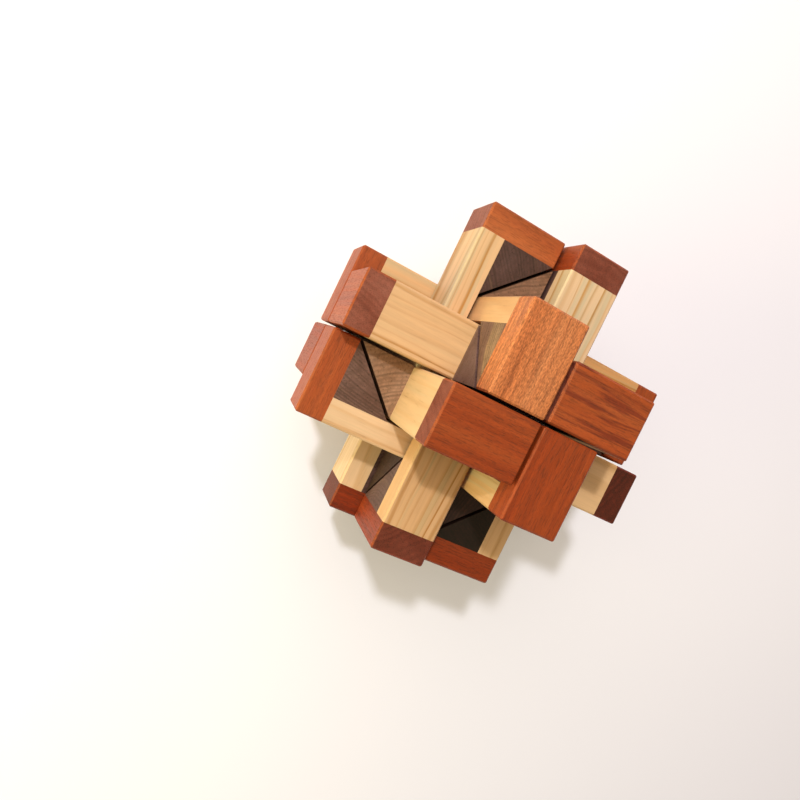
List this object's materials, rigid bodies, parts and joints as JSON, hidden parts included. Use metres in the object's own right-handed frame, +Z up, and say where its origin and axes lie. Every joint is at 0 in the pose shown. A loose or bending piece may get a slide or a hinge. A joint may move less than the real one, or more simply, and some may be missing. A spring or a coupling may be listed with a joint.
{
  "type": "interlocking burr puzzle",
  "caption": "Expanding wooden burr puzzle: identical pinwheel-cross pieces with capped arms that slide open and shut together",
  "frame": {"origin": "centre of the square of four lower caps, on the surface the puzzle stands on", "axes": "+Z up through the top and bottom pieces; +X through the east piece and +Y through the north piece, both along slats"},
  "size_m": [0.0808, 0.0808, 0.0808],
  "materials": {
    "ash": "pale straight-grained wood, sanded, thin clear oil",
    "padauk": "red-brown fine-pored wood, sanded, thin clear oil",
    "walnut": "dark brown wood, sanded, matt"
  },
  "bodies": {
    "top_piece": {"top_slat_east": "ash", "top_slat_north": "ash", "top_slat_west": "ash", "top_slat_south": "ash", "top_cap_east": "padauk", "top_cap_north": "padauk", "top_cap_west": "padauk", "top_cap_south": "padauk", "top_gussets": "walnut", "top_wedges": "walnut"},
    "bottom_piece": {"bottom_slat_east": "ash", "bottom_slat_south": "ash", "bottom_slat_west": "ash", "bottom_slat_north": "ash", "bottom_cap_east": "padauk", "bottom_cap_south": "padauk", "bottom_cap_west": "padauk", "bottom_cap_north": "padauk", "bottom_gussets": "walnut", "bottom_wedges": "walnut"},
    "east_piece": {"east_slat_down": "ash", "east_slat_north": "ash", "east_slat_up": "ash", "east_slat_south": "ash", "east_cap_down": "padauk", "east_cap_north": "padauk", "east_cap_up": "padauk", "east_cap_south": "padauk", "east_gussets": "walnut", "east_wedges": "walnut"},
    "west_piece": {"west_slat_up": "ash", "west_slat_north": "ash", "west_slat_down": "ash", "west_slat_south": "ash", "west_cap_up": "padauk", "west_cap_north": "padauk", "west_cap_down": "padauk", "west_cap_south": "padauk", "west_gussets": "walnut", "west_wedges": "walnut"},
    "north_piece": {"north_slat_east": "ash", "north_slat_down": "ash", "north_slat_west": "ash", "north_slat_up": "ash", "north_cap_east": "padauk", "north_cap_down": "padauk", "north_cap_west": "padauk", "north_cap_up": "padauk", "north_gussets": "walnut", "north_wedges": "walnut"},
    "south_piece": {"south_slat_east": "ash", "south_slat_up": "ash", "south_slat_west": "ash", "south_slat_down": "ash", "south_cap_east": "padauk", "south_cap_up": "padauk", "south_cap_west": "padauk", "south_cap_down": "padauk", "south_gussets": "walnut", "south_wedges": "walnut"}
  },
  "joints": [
    {"name": "top_slide", "type": "slide", "parent": "bottom_piece", "child": "top_piece", "axis": [0, 0, 1], "range_m": [0, 0.028]},
    {"name": "east_slide", "type": "slide", "parent": "bottom_piece", "child": "east_piece", "axis": [0.7071, 0, 0.7071], "range_m": [0, 0.0198]},
    {"name": "west_slide", "type": "slide", "parent": "bottom_piece", "child": "west_piece", "axis": [-0.7071, 0, 0.7071], "range_m": [0, 0.0198]},
    {"name": "north_slide", "type": "slide", "parent": "bottom_piece", "child": "north_piece", "axis": [0, 0.7071, 0.7071], "range_m": [0, 0.0198]},
    {"name": "south_slide", "type": "slide", "parent": "bottom_piece", "child": "south_piece", "axis": [0, -0.7071, 0.7071], "range_m": [0, 0.0198]}
  ],
  "couplings": [
    {"joint": "east_slide", "follows": "top_slide", "ratio": 0.70711},
    {"joint": "west_slide", "follows": "top_slide", "ratio": 0.70711},
    {"joint": "north_slide", "follows": "top_slide", "ratio": 0.70711},
    {"joint": "south_slide", "follows": "top_slide", "ratio": 0.70711}
  ]
}
